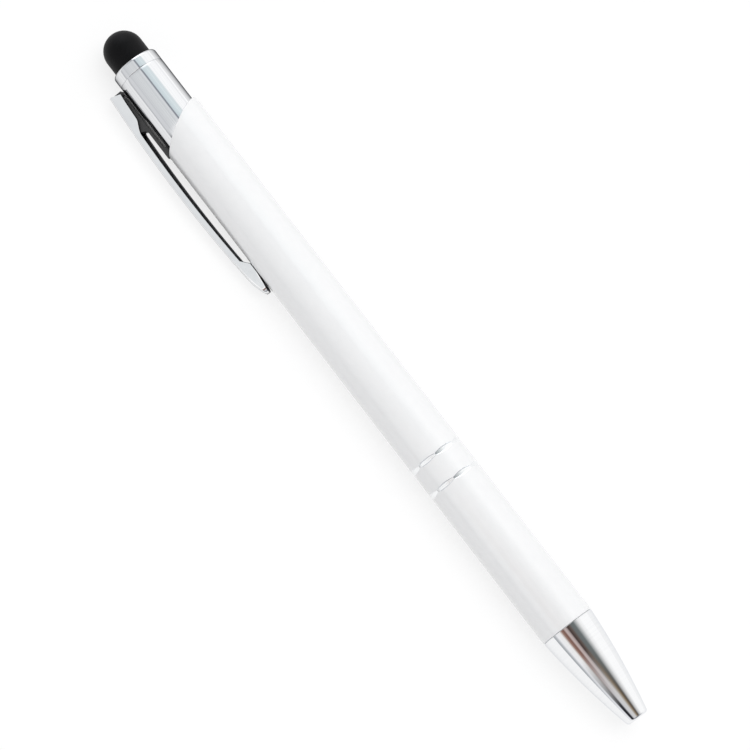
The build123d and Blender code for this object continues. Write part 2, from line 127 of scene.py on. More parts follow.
def finishPiece(name, bm, finishes, body, node, sharp=32):
    bm.transform(penTurn @ Matrix.Scale(mm, 4))
    bm.normal_update()
    for face in bm.faces:
        face.smooth = True
    for edge in bm.edges:
        edge.smooth = edge.calc_face_angle(0) < radians(sharp)
    mesh = bpy.data.meshes.new(name)
    bm.to_mesh(mesh)
    bm.free()
    piece = bpy.data.objects.new(name, mesh)
    bpy.context.scene.collection.objects.link(piece)
    for finish in finishes:
        mesh.materials.append(finish)
    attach(piece, body)
    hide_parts(node)
    print("piece", name, len(mesh.polygons), "faces")
    return piece


def thicken(piece, thickness):
    # Turns a sheet's outer surface into a wall
    wall = piece.modifiers.new("wall", "SOLIDIFY")
    wall.thickness = thickness * mm
    wall.offset = -1
    return wall


def breakEdges(piece, width):
    # Rounds off sharp edges a little
    edge = piece.modifiers.new("edgeBreak", "BEVEL")
    edge.width = width * mm
    edge.segments = 2
    edge.limit_method = "ANGLE"
    edge.angle_limit = radians(50)


# Finishes: shared effects first


def addNode(tree, kind, inputs=None, **settings):
    # Adds a node; its inputs take values or other nodes' outputs, and its settings are properties or inputs
    node = tree.nodes.new(kind)
    for key, value in settings.items():
        if hasattr(node, key):
            setattr(node, key, value)
        else:
            node.inputs[key.replace("_", " ")].default_value = value
    for key, given in (inputs or {}).items():
        if isinstance(given, bpy.types.NodeSocket):
            tree.links.new(given, node.inputs[key])
        else:
            node.inputs[key].default_value = given
    return node


def newGroup(name, inputs, outputs):
    tree = bpy.data.node_groups.new(name, "ShaderNodeTree")
    for label, kind in inputs.items():
        tree.interface.new_socket(label, in_out="INPUT", socket_type=kind)
    for label, kind in outputs.items():
        tree.interface.new_socket(label, in_out="OUTPUT", socket_type=kind)
    return tree, tree.nodes.new("NodeGroupInput"), tree.nodes.new("NodeGroupOutput")


def makeHandlingMarks():
    # Soft smudges at two sizes, as a mask from 0 to 1
    tree, given, result = newGroup("handlingMarks", {"Vector": "NodeSocketVector", "Size": "NodeSocketFloat"},
                                   {"Mask": "NodeSocketFloat"})
    place, size = given.outputs["Vector"], given.outputs["Size"]
    finerBy = 7.0
    broad = addNode(tree, "ShaderNodeTexNoise", {"Vector": place, "Scale": size}, Detail=3.0, Roughness=0.6)
    finer = addNode(tree, "ShaderNodeMath", {0: size, 1: finerBy}, operation="MULTIPLY")
    fine = addNode(tree, "ShaderNodeTexNoise", {"Vector": place, "Scale": finer.outputs[0]}, Detail=2.0)
    both = addNode(tree, "ShaderNodeMath", {0: broad.outputs[0], 1: fine.outputs[0]}, operation="ADD")
    mask = addNode(tree, "ShaderNodeMapRange", {"Value": both.outputs[0]}, From_Min=0.75, From_Max=1.25)
    tree.links.new(mask.outputs[0], result.inputs["Mask"])
    return tree


def makeFineLines():
    # Hair lines that run along whichever axis has the small scale
    tree, given, result = newGroup("fineLines", {"Vector": "NodeSocketVector", "Scale": "NodeSocketVector"},
                                   {"Lines": "NodeSocketFloat"})
    stretched = addNode(tree, "ShaderNodeVectorMath", {0: given.outputs["Vector"], 1: given.outputs["Scale"]},
                        operation="MULTIPLY")
    noise = addNode(tree, "ShaderNodeTexNoise", {"Vector": stretched.outputs[0]}, Scale=1.0, Detail=3.0,
                    Roughness=0.55)
    lines = addNode(tree, "ShaderNodeMapRange", {"Value": noise.outputs[0]}, From_Min=0.3, From_Max=0.7)
    tree.links.new(lines.outputs[0], result.inputs["Lines"])
    return tree


handlingMarks = makeHandlingMarks()
fineLines = makeFineLines()

# What a finish has where its own look says nothing else
plainLook = {
    "metallic": 0.0,
    "ior": 1.5,
    "specular": 0.5,
    "edge": (1, 1, 1),  # tint of what shows at a grazing angle
    "coat": {},
    "markSize": 120.0,
    "lineScale": (20.0, 9000.0, 9000.0),
    "tintBy": "marks",
    "grain": None,  # without it, the hair lines give the relief
}


def newFinish(name, ownLook):
    # The common base of every finish: two close colours, uneven gloss and a fine relief
    look = dict(plainLook, **ownLook)
    material = bpy.data.materials.new(name)
    material.use_nodes = True
    tree = material.node_tree
    shader = tree.nodes["Principled BSDF"]
    shader.inputs["Metallic"].default_value = look["metallic"]
    shader.inputs["IOR"].default_value = look["ior"]
    shader.inputs["Specular IOR Level"].default_value = look["specular"]
    shader.inputs["Specular Tint"].default_value = (*look["edge"], 1)
    for label, value in look["coat"].items():
        shader.inputs[label].default_value = value
    place = addNode(tree, "ShaderNodeTexCoord").outputs["Object"]
    marks = addNode(tree, "ShaderNodeGroup", {"Vector": place, "Size": look["markSize"]},
                    node_tree=handlingMarks)
    lines = addNode(tree, "ShaderNodeGroup", {"Vector": place, "Scale": look["lineScale"]},
                    node_tree=fineLines)
    gloss = addNode(tree, "ShaderNodeMapRange", {"Value": marks.outputs["Mask"]},
                    To_Min=look["gloss"][0], To_Max=look["gloss"][1])
    tree.links.new(gloss.outputs[0], shader.inputs["Roughness"])
    picker = lines.outputs["Lines"] if look["tintBy"] == "lines" else marks.outputs["Mask"]
    first, second = look["colours"]
    tint = addNode(tree, "ShaderNodeMix", {"Factor": picker, "A": (*first, 1), "B": (*second, 1)},
                   data_type="RGBA")
    tree.links.new(tint.outputs["Result"], shader.inputs["Base Color"])
    height = lines.outputs["Lines"]
    if look["grain"]:
        grain = addNode(tree, "ShaderNodeTexNoise", {"Vector": place}, Scale=look["grain"], Detail=4.0)
        height = grain.outputs[0]
    relief = addNode(tree, "ShaderNodeBump", {"Height": height}, Strength=look["relief"],
                     Distance=look["depth"] * mm)
    tree.links.new(relief.outputs[0], shader.inputs["Normal"])
    return material


# Satin white lacquer with a faint orange peel
lacquerLook = {
    "colours": ((0.885, 0.887, 0.890), (0.905, 0.906, 0.908)),
    "gloss": (0.30, 0.40),
    "coat": {"Coat Weight": 1.0, "Coat IOR": 1.75, "Coat Roughness": 0.2},
    "markSize": 90.0,
    "grain": 2600.0,
    "relief": 0.10,
    "depth": 0.02,
}
lacquer = newFinish("whiteLacquer", lacquerLook)

# Bare aluminium where the tool cut through the lacquer, with the tool's lines along each facet
cutMetalLook = {
    "colours": ((0.86, 0.87, 0.88), (0.93, 0.935, 0.94)),
    "metallic": 1.0,
    "gloss": (0.08, 0.16),
    "lineScale": (26000.0, 300.0, 300.0),
    "tintBy": "lines",
    "relief": 0.08,
    "depth": 0.01,
}
cutMetal = newFinish("cutMetal", cutMetalLook)

# Polished plating over drawn metal, with hair lines along the pen
chromeLook = {
    "colours": ((0.70, 0.71, 0.725), (0.84, 0.845, 0.855)),
    # Near-black grazing tint: a painted dark reflection along the edges of the sleeve, collar and clip
    "edge": (0.05, 0.05, 0.055),
    "metallic": 1.0,
    "gloss": (0.035, 0.085),
    "lineScale": (22.0, 5200.0, 5200.0),
    "tintBy": "lines",
    "relief": 0.05,
    "depth": 0.006,
}
chrome = newFinish("platedChrome", chromeLook)

# Turned plating: its lines run round the nose
turnedLook = dict(chromeLook, colours=((0.87, 0.875, 0.885), (0.90, 0.905, 0.91)), edge=(0.85, 0.86, 0.88),
                  gloss=(0.03, 0.06), lineScale=(3200.0, 60.0, 60.0), relief=0.01)
turnedChrome = newFinish("turnedChrome", turnedLook)

# The clip's brighter plating, without drawn lines
clipPlateLook = dict(chromeLook, colours=((0.86, 0.865, 0.875), (0.90, 0.905, 0.91)), tintBy="marks",
                     relief=0.02)
clipPlate = newFinish("clipPlate", clipPlateLook)

# The sheet's sheared edge and its unpolished inside, coloured dark as painted shade inside the channel and a
# painted dark reflection along the edge
clipInsideShadeLook = dict(chromeLook, colours=((0.16, 0.16, 0.165), (0.26, 0.26, 0.265)), gloss=(0.28, 0.40),
                   lineScale=(300.0, 9000.0, 9000.0))
clipInsideShade = newFinish("clipInsideShade", clipInsideShadeLook)

rubberLook = {
    "colours": ((0.0022, 0.0022, 0.0026), (0.004, 0.004, 0.0045)),
    "gloss": (0.45, 0.55),
    "ior": 1.22,
    "markSize": 300.0,
    "grain": 9000.0,
    "relief": 0.35,
    "depth": 0.02,
}
domeRubber = newFinish("domeRubber", rubberLook)

darkPlasticLook = {
    "colours": ((0.026, 0.026, 0.027), (0.036, 0.036, 0.037)),
    "ior": 1.6,
    "gloss": (0.36, 0.46),
    "markSize": 400.0,
    "grain": 6000.0,
    "relief": 0.12,
    "depth": 0.01,
}
darkPlastic = newFinish("darkPlastic", darkPlasticLook)

nylonLook = {
    "colours": ((0.78, 0.77, 0.72), (0.84, 0.83, 0.79)),
    "gloss": (0.42, 0.55),
    "markSize": 500.0,
    "grain": 5000.0,
    "relief": 0.15,
    "depth": 0.01,
}
nylon = newFinish("naturalNylon", nylonLook)

tubeLook = {
    "colours": ((0.74, 0.77, 0.79), (0.82, 0.84, 0.85)),
    "gloss": (0.18, 0.28),
    "lineScale": (12.0, 3000.0, 3000.0),
    "tintBy": "lines",
    "relief": 0.08,
    "depth": 0.01,
}
milkyTube = newFinish("milkyTube", tubeLook)

inkLook = {
    "colours": ((0.008, 0.012, 0.075), (0.016, 0.022, 0.12)),
    "gloss": (0.25, 0.4),
    "markSize": 260.0,
    "grain": 2500.0,
    "relief": 0.1,
    "depth": 0.02,
}
ink = newFinish("inkPaste", inkLook)

brassLook = {
    "colours": ((0.70, 0.50, 0.21), (0.80, 0.61, 0.30)),
    "metallic": 1.0,
    "gloss": (0.14, 0.24),
    "lineScale": (16000.0, 200.0, 200.0),
    "tintBy": "lines",
    "relief": 0.12,
    "depth": 0.01,
}
brass = newFinish("turnedBrass", brassLook)

steelLook = {
    "colours": ((0.52, 0.53, 0.55), (0.62, 0.63, 0.65)),
    "metallic": 1.0,
    "gloss": (0.12, 0.22),
    "markSize": 2000.0,
    "grain": 12000.0,
    "relief": 0.05,
    "depth": 0.005,
}
ballSteel = newFinish("groundSteel", steelLook)
springSteel = newFinish("springSteel", dict(steelLook, gloss=(0.22, 0.34), relief=0.12))
print("finishes made")

# Barrel: drawn tube, slanted at the rear, with two rings of cut facets
barrelLook = {
    "steps": 192,
    "frontBore": 3.8,
    "rearBore": 4.3,
    "boreStep": 82.0,
    "slantRise": 5.6,
    "rimRound": 0.09,
    "rings": (29.9, 34.8),
    "facets": 8,
    "facetTurn": -10.9,  # degrees from the clip's side
    "cornerDepth": 0.06,
    "facetBow": 9.6,  # the radius to which each facet is crowned
    "floorWidth": 0.62,
    "pinch": 0.45,  # share of that width left at the corners
    "sideSlope": 0.6,
    "outsideFrom": 0.95,  # share of the radius that tells the outside from the bore
}


def cutFacets(bm, look, radius):
    # Pulls the rows of each ring down to slightly crowned floors with sloping sides
    step = 2 * pi / look["facets"]
    bow = look["facetBow"]
    corner = radius - look["cornerDepth"]
    centre = corner * cos(step / 2) - (bow**2 - (corner * sin(step / 2)) ** 2) ** 0.5
    halfFloor = look["floorWidth"] / 2
    halfMouth = halfFloor + look["sideSlope"] * (radius - centre - bow)
    outside = radius * look["outsideFrom"]
    for ring in look["rings"]:
        for face in bm.faces:
            middle = face.calc_center_median()
            if abs(middle.x - ring) < halfMouth and middle.yz.length > outside:
                face.material_index = 1
        for vert in bm.verts:
            offset = vert.co.x - ring
            if abs(offset) > halfMouth or vert.co.yz.length < outside:
                continue
            around = atan2(vert.co.z, vert.co.y)
            folded = (around - radians(look["facetTurn"]) + step / 2) % step - step / 2
            side = 1 if offset > 0 else -1
            reach = centre * cos(folded) + (bow**2 - (centre * sin(folded)) ** 2) ** 0.5
            depthShare = (corner - reach) / (corner - centre - bow)
            halfWidth = halfFloor * blend(look["pinch"], 1, depthShare)
            if abs(offset) > (halfMouth + halfFloor) / 2:
                halfWidth += look["sideSlope"] * (radius - reach)
                reach = radius
            vert.co.x = ring + side * halfWidth
            vert.co.y = reach * cos(around)
            vert.co.z = reach * sin(around)


def makeBarrel(look):
    front, rear = spanOf("barrel")
    radius = radiusOf("barrel")
    halfFloor = look["floorWidth"] / 2
    sideRun = look["sideSlope"] * radius * (1 - cos(pi / look["facets"])) / 2
    rows = [ring + offset for ring in look["rings"]
            for offset in (-halfFloor - sideRun, -halfFloor, halfFloor, halfFloor + sideRun)]
    outer = [(x, radius) for x in rows]  # drafted here, put in place by cutFacets
    profile = [(front, look["frontBore"]), (front, radius), *outer, (rear, radius), (rear, look["rearBore"]),
               (look["boreStep"], look["rearBore"]), (look["boreStep"], look["frontBore"])]
    bm = turned(profile, look["steps"], rounds=[(1, look["rimRound"])], start=radians(look["facetTurn"]))
    cutAcross(bm, (rear - look["slantRise"] / 2, 0, 0), (2 * radius, look["slantRise"], 0), clear=True)
    rim = [edge for edge in bm.edges if edge.is_boundary]
    bmesh.ops.bridge_loops(bm, edges=rim)
    bmesh.ops.bevel(bm, geom=rim, offset=look["rimRound"], segments=5, profile=0.5,
                    affect="EDGES", material=-1)
    bmesh.ops.recalc_face_normals(bm, faces=bm.faces[:])
    cutFacets(bm, look, radius)
    finishPiece("penBarrel", bm, [lacquer, cutMetal], "barrel", "barrel", sharp=20)


makeBarrel(barrelLook)

# Nose: a slim ogive with a rounded mouth and a guide hole for the point
noseLook = {
    "steps": 160,
    "tipRadius": 1.95,
    "swell": 0.36,
    "seamBreak": 0.12,
    "tipRound": 0.45,
    "holeRadius": 1.25,
    "holeRound": 0.1,
    "guideLength": 5.6,
    "springBore": 2.5,
    "spigotRadius": 3.78,
    "rows": 40,
}


def makeNose(look):
    tip, spigotEnd = spanOf("nose_cone")
    base = radiusOf("nose_cone")
    seam = look["seamBreak"]
    profile = [(0, look["spigotRadius"]), (0, base - seam)]
    for row in range(look["rows"] + 1):
        share = row / look["rows"]
        radius = blend(base, look["tipRadius"], share) + 4 * look["swell"] * share * (1 - share)
        profile.append((blend(-seam, tip, share), radius))
    mouth = len(profile) - 1
    profile += [(tip, look["holeRadius"]), (tip + look["guideLength"], look["holeRadius"]),
                (tip + look["guideLength"], look["springBore"]), (spigotEnd, look["springBore"]),
                (spigotEnd, look["spigotRadius"])]
    rounds = [(mouth, look["tipRound"]), (mouth + 1, look["holeRound"])]
    bm = turned(profile, look["steps"], rounds)
    finishPiece("noseCone", bm, [turnedChrome], "barrel", "nose_cone")


makeNose(noseLook)

# Plunger sleeve with the slot that lets the carrier's leg pass
plungerLook = {"steps": 160, "wall": 0.6, "slotWidth": 3.3, "slotTop": 109.0, "lastRow": 1.0,
               "edgeBreak": 0.03}


def makePlunger(look):
    low, top = spanOf("plunger_tube")
    radius = radiusOf("plunger_tube")
    half = look["slotWidth"] / 2
    bm = turned([(low, radius), (top - look["lastRow"], radius), (top, radius)], look["steps"], closed=False)
    cutAcross(bm, (0, 0, half), (0, 0, 1))
    cutAcross(bm, (0, 0, -half), (0, 0, 1))
    cutAcross(bm, (look["slotTop"], 0, 0), (1, 0, 0))
    slot = []
    for face in bm.faces:
        centre = face.calc_center_median()
        if centre.y > 0 and abs(centre.z) < half and centre.x < look["slotTop"]:
            slot.append(face)
    bmesh.ops.delete(bm, geom=slot, context="FACES")
    if sum(face.normal.dot(Vector((0, *face.calc_center_median().yz))) for face in bm.faces) < 0:
        bmesh.ops.reverse_faces(bm, faces=bm.faces[:])
    piece = finishPiece("plungerSleeve", bm, [chrome], "button", "plunger_tube")
    thicken(piece, look["wall"])
    breakEdges(piece, look["edgeBreak"])


makePlunger(plungerLook)

# Stylus collar with a rolled shoulder
collarLook = {"steps": 160, "seat": 3.85, "lip": 0.9, "throat": 3.52, "throatBreak": 0.08, "shoulder": 0.5,
              "seamBreak": 0.09}


def makeCollar(look):
    low, top = spanOf("stylus_collar")
    radius = radiusOf("stylus_collar")
    profile = [(low, look["seat"]), (top - look["lip"], look["seat"]), (top - look["lip"], look["throat"]),
               (top, look["throat"]), (top, radius), (low, radius)]
    rounds = [(4, look["shoulder"]), (5, look["seamBreak"]), (3, look["throatBreak"])]
    bm = turned(profile, look["steps"], rounds)
    finishPiece("stylusCollar", bm, [chrome], "button", "stylus_collar")


makeCollar(collarLook)

# Stylus dome: hollow rubber with a flange under the collar
domeLook = {"steps": 128, "radius": 3.5, "wall": 0.9, "flange": 3.83, "flangeTop": 116.7, "rows": 24}


def makeDome(look):
    low, top = spanOf("stylus_dome")
    centre = top - look["radius"]
    inner = look["radius"] - look["wall"]
    turns = [row / look["rows"] * pi / 2 for row in range(look["rows"] + 1)]
    outerCap = [(centre + look["radius"] * sin(turn), look["radius"] * cos(turn)) for turn in turns]
    innerCap = [(centre + inner * sin(turn), inner * cos(turn)) for turn in reversed(turns)]
    profile = [(low, inner), (low, look["flange"]), (look["flangeTop"], look["flange"]),
               (look["flangeTop"], look["radius"]), *outerCap, *innerCap]
    bm = turned(profile, look["steps"])
    finishPiece("stylusDome", bm, [domeRubber], "button", "stylus_dome")


makeDome(domeLook)

# Clip: one sheet folded into a channel, deep at the root, with a foot near the end
clipLook = {
    "sheet": 0.5,
    "bend": 0.4,
    "columns": 214,
    "rows": 40,
    "riseTop": 6.52,
    "riseMiddle": 7.4,
    "riseEnd": 6.45,
    "rootWidth": 4.0,
    "endWidth": 2.2,
    "endRound": 0.9,
    "rootWall": 1.95,
    "rootLength": 5.35,
    "stepLength": 2.8,
    "armWall": 1.08,
    "endWall": 0.55,
    "endTrim": 0.85,
    "tailLength": 4.0,
    "tailDrop": 0.7,
    "footFromEnd": 4.6,
    "footFlat": 1.9,
    "footRamp": 1.4,
    "footReach": 4.829,  # from the pen's axis
    "topCut": 0.6,  # how far the walls' lower corners stand back at the top
    "topCutReach": 2.5,
    "edgeBreak": 0.06,
}


def clipShape(look, x, low, top):
    # Back, half width and lower edge of the channel at a station
    middle, half = (low + top) / 2, (top - low) / 2

    def backAt(station):
        share = (station - middle) / half
        lean = (look["riseTop"] - look["riseEnd"]) / 2
        bow = (look["riseTop"] + look["riseEnd"]) / 2 - look["riseMiddle"]
        return look["riseMiddle"] + lean * share + bow * share**2

    end = low + look["endTrim"]

    def tailAt(station):
        return look["tailDrop"] * max(1 - (station - end) / look["tailLength"], 0) ** 2

    back = backAt(x) - tailAt(x)
    width = blend(look["rootWidth"], look["endWidth"], (top - x) / (top - low)) / 2
    inset = max(look["endRound"] - (x - end), 0)
    width -= look["endRound"] - (look["endRound"] ** 2 - inset**2) ** 0.5
    foot = low + look["footFromEnd"]
    footTop = foot + look["footFlat"]
    armStart = footTop + look["footRamp"]
    rootLow = top - look["rootLength"]
    # On the foot, the walls' inner edges stand just clear of the barrel
    footLow = (look["footReach"] ** 2 - (width - look["sheet"]) ** 2) ** 0.5
    if x >= armStart:
        share = easy((x - rootLow + look["stepLength"]) / look["stepLength"])
        edge = back - blend(look["armWall"], look["rootWall"], share)
    elif x >= footTop:
        edge = blend(footLow, backAt(armStart) - look["armWall"], (x - footTop) / look["footRamp"])
    elif x >= foot:
        edge = footLow
    else:
        edge = blend(backAt(end) - tailAt(end) - look["endWall"], footLow, (x - end) / (foot - end))
    return back, width, edge


def makeClip(look):
    low, top = spanOf("clip")
    bend = look["bend"]
    bm = bmesh.new()
    bmesh.ops.create_grid(bm, x_segments=look["columns"], y_segments=look["rows"], size=1)
    flatShare, bendShare = 0.4, 0.6  # shares of the half sheet where the bend starts and ends
    for vert in bm.verts:
        x = blend(low + look["endTrim"], top, (vert.co.x + 1) / 2)
        side = 1 if vert.co.y > 0 else -1
        across = abs(vert.co.y)
        back, width, edge = clipShape(look, x, low, top)
        if across <= flatShare:
            y, z = back, (width - bend) * across / flatShare
        elif across <= bendShare:
            turn = (across - flatShare) / (bendShare - flatShare) * pi / 2
            y, z = back - bend + bend * cos(turn), width - bend + bend * sin(turn)
        else:
            down = (across - bendShare) / (1 - bendShare)
            y, z = blend(back - bend, edge, down), width
            x -= look["topCut"] * down * easy(1 - (top - x) / look["topCutReach"])
        vert.co = (x, y, side * z)
    bm.normal_update()
    if sum(face.normal.y for face in bm.faces) < 0:
        bmesh.ops.reverse_faces(bm, faces=bm.faces[:])
    piece = finishPiece("pocketClip", bm, [clipPlate, clipInsideShade], "clip", "clip", sharp=40)
    wall = thicken(piece, look["sheet"])
    wall.use_even_offset = True
    # The inside and the rims take the dark finish: painted shade inside the channel and along the sheet's
    # edge
    wall.material_offset = 1
    wall.material_offset_rim = 1
    breakEdges(piece, look["edgeBreak"])


makeClip(clipLook)

# Clip carrier: ring in the barrel, leg in the sleeve's slot, lug inside the clip's root
carrierLook = {
    "ring": (3.3, 4.28),  # inner and outer radius, as for the leg
    "ringHeight": 2.5,
    "ringSteps": 96,
    "leg": (3.65, 4.24),
    "legWidth": 3.0,
    "legSteps": 12,
    "jog": (101.5, 103.1),
    "jogSlope": -0.36,
    "shank": 4.9,
    "lug": (4.35, 5.92),
    "lugLow": (107.85, 6.45),
    "lugWidth": 2.6,
    "lugSlope": 0.8,
    "notch": (113.9, 114.4),
    "notchDepth": 0.3,
    "edgeBreak": 0.1,
}


def addBlock(bm, outline, width):
    # Extrudes a side outline of (x, y) points to a width across the clip
    face = bm.faces.new([bm.verts.new((x, y, -width / 2)) for x, y in outline])
    grown = bmesh.ops.extrude_face_region(bm, geom=[face])
    lifted = [item for item in grown["geom"] if isinstance(item, bmesh.types.BMVert)]
    bmesh.ops.translate(bm, verts=lifted, vec=(0, 0, width))


def makeCarrier(look):
    low, top = spanOf("clip_carrier")
    legIn, legOut = look["leg"]
    lugIn, lugOut = look["lug"]
    jogLow, jogTop = look["jog"]
    ringIn, ringOut = look["ring"]
    spread = asin(look["legWidth"] / 2 / legOut)
    ringTop = low + look["ringHeight"]
    bm = turned([(low, ringIn), (ringTop, ringIn), (ringTop, ringOut), (low, ringOut)], look["ringSteps"])
    legFrom = low + look["ringHeight"] / 2
    leg = turned([(legFrom, legIn), (jogTop, legIn), (jogTop, legOut), (legFrom, legOut)], look["legSteps"],
                 turn=2 * spread, start=-spread)
    bmesh.ops.holes_fill(leg, edges=leg.edges[:], sides=4)
    legMesh = bpy.data.meshes.new("legDraft")
    leg.to_mesh(legMesh)
    leg.free()
    bm.from_mesh(legMesh)
    bpy.data.meshes.remove(legMesh)
    notchLow, notchTop = look["notch"]
    notchFloor = lugIn + look["notchDepth"]
    inner = [(jogLow, legIn), (jogTop, legIn), (jogTop, lugIn), (notchLow, lugIn), (notchLow, notchFloor),
             (notchTop, notchFloor), (notchTop, lugIn), (top, lugIn)]
    outer = [(top, lugOut), look["lugLow"], (look["lugLow"][0] - look["lugSlope"], look["shank"]),
             (jogLow + look["jogSlope"], look["shank"])]
    addBlock(bm, inner + outer, look["lugWidth"])
    bmesh.ops.recalc_face_normals(bm, faces=bm.faces[:])
    piece = finishPiece("clipCarrier", bm, [darkPlastic], "barrel", "clip_carrier")
    breakEdges(piece, look["edgeBreak"])


makeCarrier(carrierLook)

# Return spring: wire wound with a closed coil at each end
springLook = {
    "wire": 0.4,
    "sides": 10,
    "stepsPerTurn": 40,
    "openTurns": 7,
    "closedPitch": 0.42,
    "endRound": 0.06,
    "rimAngle": 60,
}


def makeSpring(look):
    low, top = spanOf("return_spring")
    wire = look["wire"] / 2
    middle = radiusOf("return_spring") - wire
    openPitch = (top - low - 2 * wire - 2 * look["closedPitch"]) / look["openTurns"]
    bm = bmesh.new()
    bmesh.ops.create_circle(bm, segments=look["sides"], radius=wire)
    bmesh.ops.translate(bm, verts=bm.verts[:], vec=(low + wire, middle, 0))
    last = bm.verts[:] + bm.edges[:]
    for turns, pitch in ((1, look["closedPitch"]), (look["openTurns"], openPitch), (1, look["closedPitch"])):
        wound = bmesh.ops.spin(bm, geom=last, cent=(0, 0, 0), axis=(1, 0, 0), angle=2 * pi * turns,
                               dvec=(pitch / look["stepsPerTurn"], 0, 0), steps=turns * look["stepsPerTurn"])
        last = wound["geom_last"]
    ends = [edge for edge in bm.edges if edge.is_boundary]
    bmesh.ops.holes_fill(bm, edges=ends)
    bmesh.ops.recalc_face_normals(bm, faces=bm.faces[:])
    rims = [edge for edge in bm.edges if edge.calc_face_angle(0) > radians(look["rimAngle"])]
    bmesh.ops.bevel(bm, geom=rims, offset=look["endRound"], segments=2, profile=0.5,
                    affect="EDGES", material=-1)
    piece = finishPiece("returnSpring", bm, [springSteel], "barrel", "return_spring",
                        sharp=look["rimAngle"])
    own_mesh(piece)


makeSpring(springLook)

# Inner pieces keep their CAD shapes and get real finishes
innerFinishes = {
    "stylus_core": darkPlastic,
    "cam_body": nylon,
    "rotor": nylon,
    "thruster": nylon,
    "refill_tube": milkyTube,
    "ink_column": ink,
    "refill_point": brass,
    "writing_ball": ballSteel,
}
for node, finish in innerFinishes.items():
    mesh = frame["nodes"][node].data
    mesh.materials.clear()
    mesh.materials.append(finish)
print("inner pieces finished")

# Floor: plain and pale, under the lowest point of the pen; what sees it directly sees it near white
floorLook = {
    "size": 4.0,  # metres, as is the middle's place along the pen
    "middle": 0.05,
    "colours": ((0.82, 0.82, 0.82), (0.835, 0.835, 0.835)),
    "specular": 0.1,
    "gloss": (0.7, 0.8),
    "grain": 900.0,
    "relief": 0.02,
    "depth": 0.02,
    "glow": 0.7,  # share of plain white in what is seen; the rest keeps the shadow
    "white": 1.08,
}


def eitherOf(tree, first, second):
    return addNode(tree, "ShaderNodeMath", {0: first, 1: second}, operation="MAXIMUM").outputs[0]


def makeFloor(look):
    bm = bmesh.new()
    bmesh.ops.create_grid(bm, x_segments=8, y_segments=8, size=look["size"] / 2)
    bmesh.ops.translate(bm, verts=bm.verts[:], vec=(look["middle"], 0, cadBox[0][2]))
    mesh = bpy.data.meshes.new("paleFloor")
    bm.to_mesh(mesh)
    bm.free()
    paper = newFinish("palePaper", look)
    tree = paper.node_tree
    rays = addNode(tree, "ShaderNodeLightPath").outputs
    mirroredOrClear = eitherOf(tree, rays["Is Glossy Ray"], rays["Is Transmission Ray"])
    seen = eitherOf(tree, rays["Is Camera Ray"], mirroredOrClear)
    share = addNode(tree, "ShaderNodeMath", {0: seen, 1: look["glow"]}, operation="MULTIPLY").outputs[0]
    plain = tree.nodes["Principled BSDF"].outputs[0]
    glow = addNode(tree, "ShaderNodeEmission", Strength=look["white"]).outputs[0]
    both = addNode(tree, "ShaderNodeMixShader", {0: share, 1: plain, 2: glow})
    tree.links.new(both.outputs[0], tree.nodes["Material Output"].inputs["Surface"])
    mesh.materials.append(paper)
    floor = bpy.data.objects.new("paleFloor", mesh)
    bpy.context.scene.collection.objects.link(floor)


makeFloor(floorLook)

# Camera: above the nose end, leaning to the clip's side, aimed at the pen's middle
cameraLook = {
    "spot": (-17.35, 149.9, 512.63),
    "aim": (51.625, -0.195, 0.0),
    "roll": 127.622,
    "lensPixels": 3288.4,
    "imagePixels": 750,
    "sensor": 36,
    "sees": (0.01, 20.0),  # nearest and farthest, in metres
}


def makeCamera(look):
    spot, aim = Vector(look["spot"]) * mm, Vector(look["aim"]) * mm
    ahead = (aim - spot).normalized()
    level = (alongPen - alongPen.dot(ahead) * ahead).normalized()
    down = ahead.cross(level)
    roll = radians(look["roll"])
    right = cos(roll) * level + sin(roll) * down
    up = sin(roll) * level - cos(roll) * down
    data = bpy.data.cameras.new("photoCamera")
    data.sensor_width = look["sensor"]
    data.lens = look["sensor"] * look["lensPixels"] / look["imagePixels"]
    data.clip_start, data.clip_end = look["sees"]
    camera = bpy.data.objects.new("photoCamera", data)
    camera.matrix_world = Matrix.Translation(spot) @ Matrix((right, up, -ahead)).transposed().to_4x4()
    bpy.context.scene.collection.objects.link(camera)
    bpy.context.scene.camera = camera


makeCamera(cameraLook)

